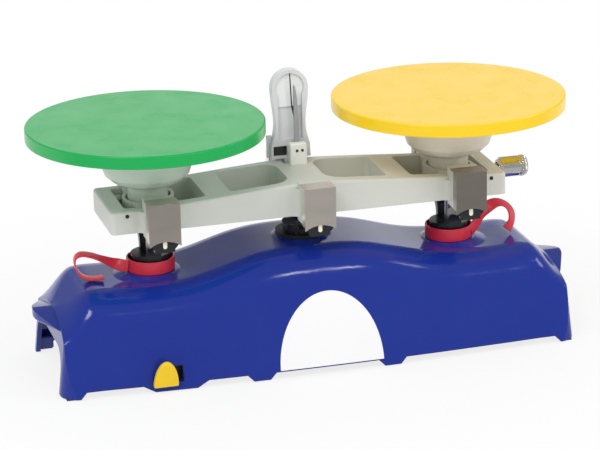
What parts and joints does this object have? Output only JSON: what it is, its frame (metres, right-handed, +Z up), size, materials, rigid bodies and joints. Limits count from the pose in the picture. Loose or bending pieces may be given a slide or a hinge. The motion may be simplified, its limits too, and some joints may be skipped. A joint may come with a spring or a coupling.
{
  "type": "two-pan balance",
  "caption": "Two-pan school balance: moulded base, cast beam on knife edges, removable round pans on parallel guided stems, pointer, zero nut, beam lock and transit straps.",
  "frame": {"origin": "on the resting plane, below the centre pivot of the beam, at the middle of the base", "axes": "+Z up, +X to the observer's right along the beam, -Y towards the observer; the beam turns about +Y"},
  "size_m": [0.3578, 0.1524, 0.181],
  "materials": {
    "base_blue": "glossy moulded plastic",
    "pad_grey": "matte",
    "label_white": "satin film",
    "yoke_black": "satin black paint",
    "clip_steel": "fine brushed",
    "hidden_steel": "plain steel",
    "knife_steel": "hardened, ground",
    "pin_ivory": "glossy",
    "beam_cast": "cast, painted off-white",
    "screw_white": "satin",
    "hub_white": "moulded off-white plastic",
    "bush_nylon": "plain nylon",
    "nut_chrome": "polished",
    "strap_red": "soft ribbon plastic",
    "pan_green": "glossy moulded plastic",
    "pan_yellow": "glossy moulded plastic",
    "tower_grey": "satin moulded plastic",
    "pointer_grey": "satin",
    "needle_dark": "satin",
    "tab_yellow": "glossy moulded plastic",
    "bar_black": "plain"
  },
  "bodies": {
    "base": {"base_shell": "base_blue", "foot_pads": "pad_grey", "front_label": "label_white", "centre_bracket": "hidden_steel", "bracket_screws": "hidden_steel", "centre_yoke": "yoke_black", "centre_yoke_pins": "pin_ivory", "centre_bearings": "knife_steel", "centre_stud": "hidden_steel", "centre_link_pin": "hidden_steel", "centre_nut": "hidden_steel", "left_stem_bush": "bush_nylon", "right_stem_bush": "bush_nylon", "left_strap": "strap_red", "right_strap": "strap_red", "pointer_housing": "tower_grey", "scale_face": "tower_grey", "housing_screw": "hidden_steel", "housing_plug": "bar_black"},
    "beam": {"beam": "beam_cast", "centre_knives": "knife_steel", "left_knives": "knife_steel", "right_knives": "knife_steel", "left_front_clip": "clip_steel", "left_rear_clip": "clip_steel", "centre_front_clip": "clip_steel", "centre_rear_clip": "clip_steel", "right_front_clip": "clip_steel", "right_rear_clip": "clip_steel", "beam_set_screws": "hidden_steel", "tare_bar": "hidden_steel", "tare_screw": "screw_white", "zero_stud": "hidden_steel", "pointer_block": "screw_white", "pointer_blade": "pointer_grey", "pointer_needle": "needle_dark", "pointer_screws": "needle_dark"},
    "left_carrier": {"left_yoke": "yoke_black", "left_yoke_pins": "pin_ivory", "left_bearings": "knife_steel", "left_pan_hub": "hub_white", "left_stem": "hidden_steel", "left_link_pin": "hidden_steel"},
    "right_carrier": {"right_yoke": "yoke_black", "right_yoke_pins": "pin_ivory", "right_bearings": "knife_steel", "right_pan_hub": "hub_white", "right_stem": "hidden_steel", "right_link_pin": "hidden_steel"},
    "left_pan": {"left_pan": "pan_green"},
    "right_pan": {"right_pan": "pan_yellow"},
    "check_link": {"check_link": "hidden_steel", "link_spacers": "hidden_steel"},
    "lock_slider": {"lock_tab": "tab_yellow", "lock_bar": "bar_black"},
    "zero_bush": {"zero_bush": "bush_nylon"},
    "zero_nut": {"zero_nut": "nut_chrome"}
  },
  "joints": [
    {"name": "beam_rock", "type": "hinge", "parent": "base", "child": "beam", "pos_m": [0, 0, 0.108], "axis": [0, 1, 0], "range_deg": [-3, 3]},
    {"name": "left_level", "type": "hinge", "parent": "beam", "child": "left_carrier", "pos_m": [-0.1008, 0, 0.108], "axis": [0, 1, 0], "range_deg": [-3, 3]},
    {"name": "right_level", "type": "hinge", "parent": "beam", "child": "right_carrier", "pos_m": [0.1008, 0, 0.108], "axis": [0, 1, 0], "range_deg": [-3, 3]},
    {"name": "link_rock", "type": "hinge", "parent": "base", "child": "check_link", "pos_m": [0, 0, 0.03], "axis": [0, 1, 0], "range_deg": [-3, 3]},
    {"name": "left_pan_lift", "type": "slide", "parent": "left_carrier", "child": "left_pan", "axis": [0, 0, 1], "range_m": [0, 0.03]},
    {"name": "right_pan_lift", "type": "slide", "parent": "right_carrier", "child": "right_pan", "axis": [0, 0, 1], "range_m": [0, 0.03]},
    {"name": "lock_slide", "type": "slide", "parent": "base", "child": "lock_slider", "axis": [1, 0, 0], "range_m": [0, 0.0055]},
    {"name": "zero_travel", "type": "slide", "parent": "beam", "child": "zero_bush", "axis": [1, 0, 0], "range_m": [-0.0031, 0.0031]},
    {"name": "nut_turn", "type": "hinge", "parent": "zero_bush", "child": "zero_nut", "pos_m": [0.1447, 0, 0.107], "axis": [1, 0, 0], "range_deg": [-1080, 1080]}
  ],
  "couplings": [
    {"joint": "left_level", "follows": "beam_rock", "ratio": -1},
    {"joint": "right_level", "follows": "beam_rock", "ratio": -1},
    {"joint": "link_rock", "follows": "beam_rock", "ratio": 1},
    {"joint": "zero_travel", "follows": "nut_turn", "m_per_rad": 0.00015915}
  ]
}
